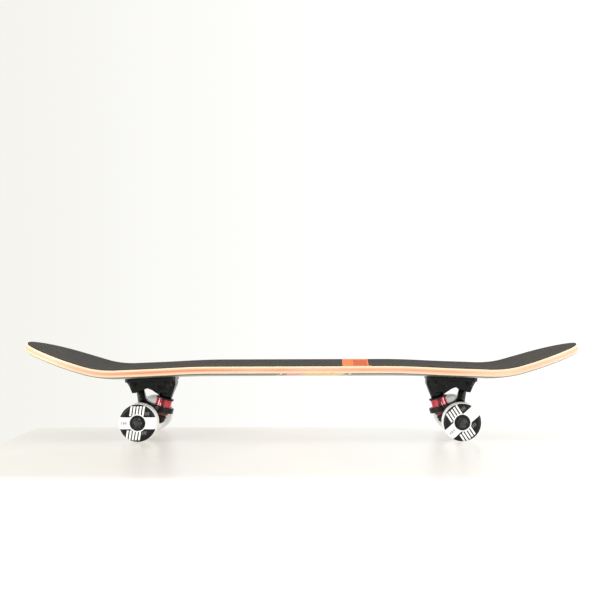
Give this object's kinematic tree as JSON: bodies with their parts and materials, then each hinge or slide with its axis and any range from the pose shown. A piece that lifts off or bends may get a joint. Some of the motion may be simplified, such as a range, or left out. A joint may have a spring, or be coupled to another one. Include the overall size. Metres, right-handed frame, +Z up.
{
  "type": "skateboard",
  "caption": "Street skateboard: concave maple deck with kicked nose and tail, grip sheet, black cast trucks that steer on red bushings, and white printed wheels on bearings.",
  "frame": {"origin": "on the floor, under the middle of the board, midway between the axles", "axes": "+X along the board from nose to tail, +Y across it to the rider's right when facing the nose, +Z up"},
  "size_m": [0.808, 0.203, 0.1389],
  "materials": {
    "maple_ply": "clear lacquered maple veneers, dyed middle plies, square routed edge",
    "grip_black": "coarse black abrasive sheet",
    "grip_orange": "coarse orange abrasive sheet",
    "truck_black": "cast aluminium, satin black paint",
    "hanger_black": "cast aluminium, gloss black paint",
    "pivot_cup_black": "moulded black urethane",
    "kingpin_steel": "blackened steel",
    "hardware_black": "black oxide steel",
    "washer_black": "black cupped steel washer",
    "bushing_red": "clear red urethane, glossy",
    "bushing_dark_red": "deep red urethane, glossy",
    "axle_steel": "zinc plated steel",
    "nut_dark": "dark steel lock nut with nylon ring",
    "bearing_steel": "polished bearing steel",
    "shield_black": "black bearing shield",
    "cage_nylon": "black nylon ball cage",
    "wheel_urethane": "white cast urethane with printed black side panels"
  },
  "bodies": {
    "root": {"deck": "maple_ply", "nose_grip": "grip_black", "grip_band": "grip_orange", "tail_grip": "grip_black", "front_baseplate": "truck_black", "front_pivot_cup": "pivot_cup_black", "front_kingpin": "kingpin_steel", "front_kingpin_nut": "hardware_black", "front_boardside_washer": "washer_black", "front_boardside_bushing": "bushing_red", "front_roadside_bushing": "bushing_dark_red", "front_roadside_washer": "washer_black", "front_mounting_bolts": "hardware_black", "front_mounting_nuts": "hardware_black", "rear_baseplate": "truck_black", "rear_pivot_cup": "pivot_cup_black", "rear_kingpin": "kingpin_steel", "rear_kingpin_nut": "hardware_black", "rear_boardside_washer": "washer_black", "rear_boardside_bushing": "bushing_red", "rear_roadside_bushing": "bushing_dark_red", "rear_roadside_washer": "washer_black", "rear_mounting_bolts": "hardware_black", "rear_mounting_nuts": "hardware_black"},
    "front_hanger_assembly": {"front_hanger": "hanger_black", "front_axle": "axle_steel", "front_bearing_inner_races": "bearing_steel", "front_bearing_spacers": "axle_steel", "front_speed_washers": "axle_steel", "front_axle_nuts": "nut_dark"},
    "front_left_wheel_assembly": {"front_left_wheel": "wheel_urethane", "front_left_bearing_outer_races": "bearing_steel", "front_left_bearing_shields": "shield_black"},
    "front_left_ball_set": {"front_left_bearing_balls": "bearing_steel", "front_left_bearing_cages": "cage_nylon"},
    "front_right_wheel_assembly": {"front_right_wheel": "wheel_urethane", "front_right_bearing_outer_races": "bearing_steel", "front_right_bearing_shields": "shield_black"},
    "front_right_ball_set": {"front_right_bearing_balls": "bearing_steel", "front_right_bearing_cages": "cage_nylon"},
    "rear_hanger_assembly": {"rear_hanger": "hanger_black", "rear_axle": "axle_steel", "rear_bearing_inner_races": "bearing_steel", "rear_bearing_spacers": "axle_steel", "rear_speed_washers": "axle_steel", "rear_axle_nuts": "nut_dark"},
    "rear_left_wheel_assembly": {"rear_left_wheel": "wheel_urethane", "rear_left_bearing_outer_races": "bearing_steel", "rear_left_bearing_shields": "shield_black"},
    "rear_left_ball_set": {"rear_left_bearing_balls": "bearing_steel", "rear_left_bearing_cages": "cage_nylon"},
    "rear_right_wheel_assembly": {"rear_right_wheel": "wheel_urethane", "rear_right_bearing_outer_races": "bearing_steel", "rear_right_bearing_shields": "shield_black"},
    "rear_right_ball_set": {"rear_right_bearing_balls": "bearing_steel", "rear_right_bearing_cages": "cage_nylon"}
  },
  "joints": [
    {"name": "front_steering", "type": "hinge", "parent": "root", "child": "front_hanger_assembly", "pos_m": [-0.242, 0, 0.0705], "axis": [0.7761, 0, -0.6306], "range_deg": [-16, 16], "stiffness_Nm_per_rad": 60, "deforming": ["front_boardside_bushing", "front_roadside_bushing"]},
    {"name": "front_left_wheel_spin", "type": "hinge", "parent": "front_hanger_assembly", "child": "front_left_wheel_assembly", "pos_m": [-0.2265, -0.0795, 0.027], "axis": [0, 1, 0], "continuous": true},
    {"name": "front_left_ball_travel", "type": "hinge", "parent": "front_hanger_assembly", "child": "front_left_ball_set", "pos_m": [-0.2265, -0.0795, 0.027], "axis": [0, 1, 0], "continuous": true},
    {"name": "front_right_wheel_spin", "type": "hinge", "parent": "front_hanger_assembly", "child": "front_right_wheel_assembly", "pos_m": [-0.2265, 0.0795, 0.027], "axis": [0, 1, 0], "continuous": true},
    {"name": "front_right_ball_travel", "type": "hinge", "parent": "front_hanger_assembly", "child": "front_right_ball_set", "pos_m": [-0.2265, 0.0795, 0.027], "axis": [0, 1, 0], "continuous": true},
    {"name": "rear_steering", "type": "hinge", "parent": "root", "child": "rear_hanger_assembly", "pos_m": [0.242, 0, 0.0705], "axis": [-0.7761, 0, -0.6306], "range_deg": [-16, 16], "stiffness_Nm_per_rad": 60, "deforming": ["rear_boardside_bushing", "rear_roadside_bushing"]},
    {"name": "rear_left_wheel_spin", "type": "hinge", "parent": "rear_hanger_assembly", "child": "rear_left_wheel_assembly", "pos_m": [0.2265, -0.0795, 0.027], "axis": [0, 1, 0], "continuous": true},
    {"name": "rear_left_ball_travel", "type": "hinge", "parent": "rear_hanger_assembly", "child": "rear_left_ball_set", "pos_m": [0.2265, -0.0795, 0.027], "axis": [0, 1, 0], "continuous": true},
    {"name": "rear_right_wheel_spin", "type": "hinge", "parent": "rear_hanger_assembly", "child": "rear_right_wheel_assembly", "pos_m": [0.2265, 0.0795, 0.027], "axis": [0, 1, 0], "continuous": true},
    {"name": "rear_right_ball_travel", "type": "hinge", "parent": "rear_hanger_assembly", "child": "rear_right_ball_set", "pos_m": [0.2265, 0.0795, 0.027], "axis": [0, 1, 0], "continuous": true}
  ],
  "couplings": [
    {"joint": "front_left_ball_travel", "follows": "front_left_wheel_spin", "ratio": 0.6323},
    {"joint": "front_right_ball_travel", "follows": "front_right_wheel_spin", "ratio": 0.6323},
    {"joint": "rear_left_ball_travel", "follows": "rear_left_wheel_spin", "ratio": 0.6323},
    {"joint": "rear_right_ball_travel", "follows": "rear_right_wheel_spin", "ratio": 0.6323}
  ]
}
